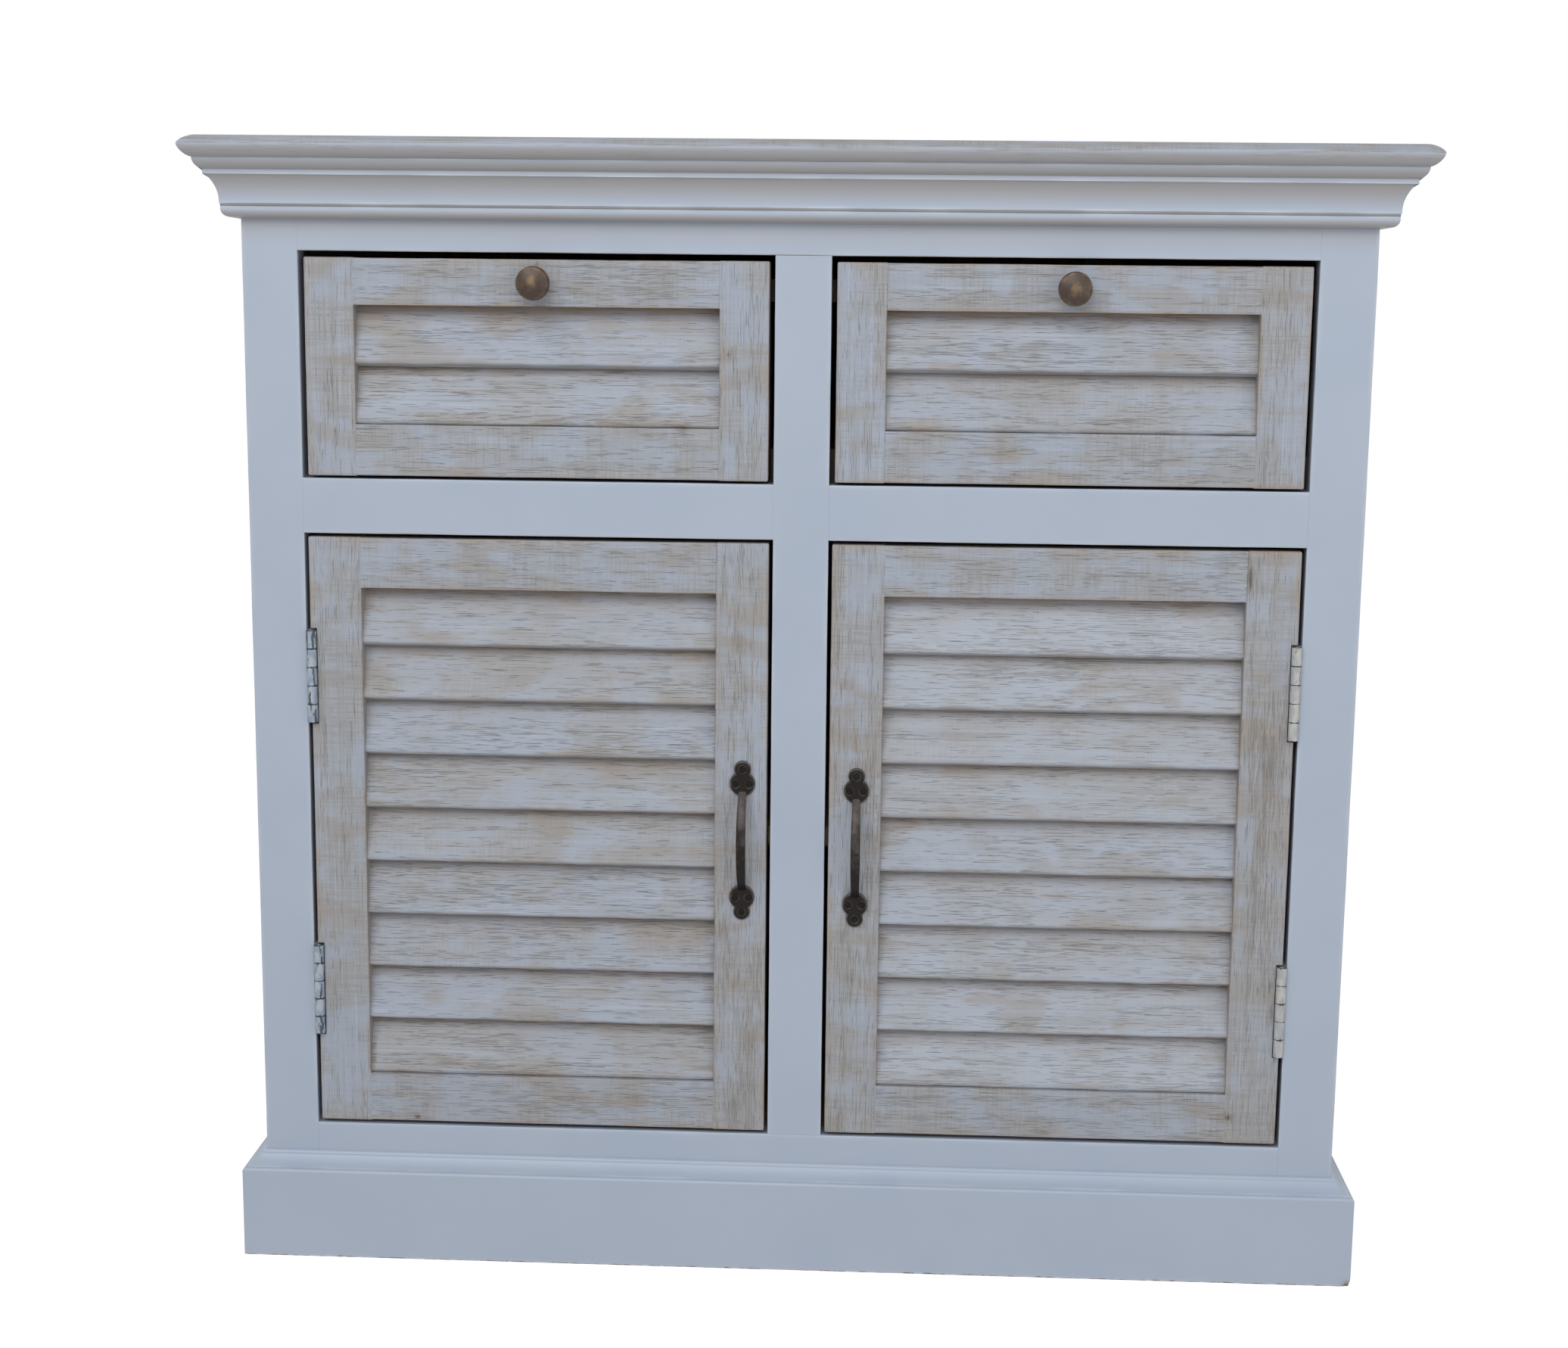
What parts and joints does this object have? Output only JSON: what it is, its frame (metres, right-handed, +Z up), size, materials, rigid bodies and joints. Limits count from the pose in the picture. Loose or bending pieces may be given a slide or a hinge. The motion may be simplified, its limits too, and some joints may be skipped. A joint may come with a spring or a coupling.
{
  "type": "louvred door cabinet",
  "caption": "Low painted cabinet with a moulded crown and plinth, louvred drawers above louvred doors on butt hinges, bowed pull handles and mushroom knobs.",
  "frame": {"origin": "centre of the bounding box's base, on the floor", "axes": "+X to the cabinet's right as seen from its front, -Y out of its front, +Z up"},
  "size_m": [0.978, 0.399, 0.932],
  "materials": {
    "body_paint": "solid wood under pale blue-grey satin paint, lightly worn",
    "washed_wood": "hardwood with a rubbed greyish white wash over tan grain",
    "inner_wood": "plain sanded hardwood",
    "hinge_paint": "steel painted over in chipped greyish white",
    "handle_iron": "blackened iron with a brown bloom",
    "knob_brass": "antique brass with a dark patina, rubbed bright on the dome",
    "screw_steel": "dull steel",
    "catch_plastic": "black plastic case with a magnet inside"
  },
  "bodies": {
    "cabinet": {"top_board": "body_paint", "crown_front": "body_paint", "crown_left": "body_paint", "crown_right": "body_paint", "side_left": "body_paint", "side_right": "body_paint", "face_stile_left": "body_paint", "face_stile_right": "body_paint", "face_stile_centre": "body_paint", "face_rail_top": "body_paint", "face_rail_middle_left": "body_paint", "face_rail_middle_right": "body_paint", "face_rail_bottom": "body_paint", "plinth_front": "body_paint", "plinth_left": "body_paint", "plinth_right": "body_paint", "floor_panel": "inner_wood", "back_panel": "inner_wood", "partition": "inner_wood", "shelf_left": "inner_wood", "shelf_right": "inner_wood", "drawer_runners": "inner_wood", "drawer_kickers": "inner_wood", "hinge_frame_leaves": "hinge_paint", "hinge_frame_screws": "screw_steel", "hinge_pins": "hinge_paint", "magnet_catches": "catch_plastic", "shelf_supports": "screw_steel"},
    "left_door": {"left_door_stile_hinge": "washed_wood", "left_door_stile_lock": "washed_wood", "left_door_rail_top": "washed_wood", "left_door_rail_bottom": "washed_wood", "left_door_louvres": "washed_wood", "left_door_handle": "handle_iron", "left_door_hinge_leaves": "hinge_paint", "left_door_fixings": "screw_steel"},
    "right_door": {"right_door_stile_hinge": "washed_wood", "right_door_stile_lock": "washed_wood", "right_door_rail_top": "washed_wood", "right_door_rail_bottom": "washed_wood", "right_door_louvres": "washed_wood", "right_door_handle": "handle_iron", "right_door_hinge_leaves": "hinge_paint", "right_door_fixings": "screw_steel"},
    "left_drawer": {"left_drawer_front_stiles": "washed_wood", "left_drawer_front_rails": "washed_wood", "left_drawer_louvres": "washed_wood", "left_drawer_box_sides": "inner_wood", "left_drawer_box_front": "inner_wood", "left_drawer_box_back": "inner_wood", "left_drawer_box_bottom": "inner_wood", "left_drawer_knob": "knob_brass"},
    "right_drawer": {"right_drawer_front_stiles": "washed_wood", "right_drawer_front_rails": "washed_wood", "right_drawer_louvres": "washed_wood", "right_drawer_box_sides": "inner_wood", "right_drawer_box_front": "inner_wood", "right_drawer_box_back": "inner_wood", "right_drawer_box_bottom": "inner_wood", "right_drawer_knob": "knob_brass"}
  },
  "joints": [
    {"name": "left_door_hinge", "type": "hinge", "parent": "cabinet", "child": "left_door", "pos_m": [-0.40095, -0.162, 0.36525], "axis": [0, 0, -1], "range_deg": [0, 170]},
    {"name": "right_door_hinge", "type": "hinge", "parent": "cabinet", "child": "right_door", "pos_m": [0.40095, -0.162, 0.36525], "axis": [0, 0, 1], "range_deg": [0, 170]},
    {"name": "left_drawer_slide", "type": "slide", "parent": "cabinet", "child": "left_drawer", "axis": [0, -1, 0], "range_m": [0, 0.26]},
    {"name": "right_drawer_slide", "type": "slide", "parent": "cabinet", "child": "right_drawer", "axis": [0, -1, 0], "range_m": [0, 0.26]}
  ]
}
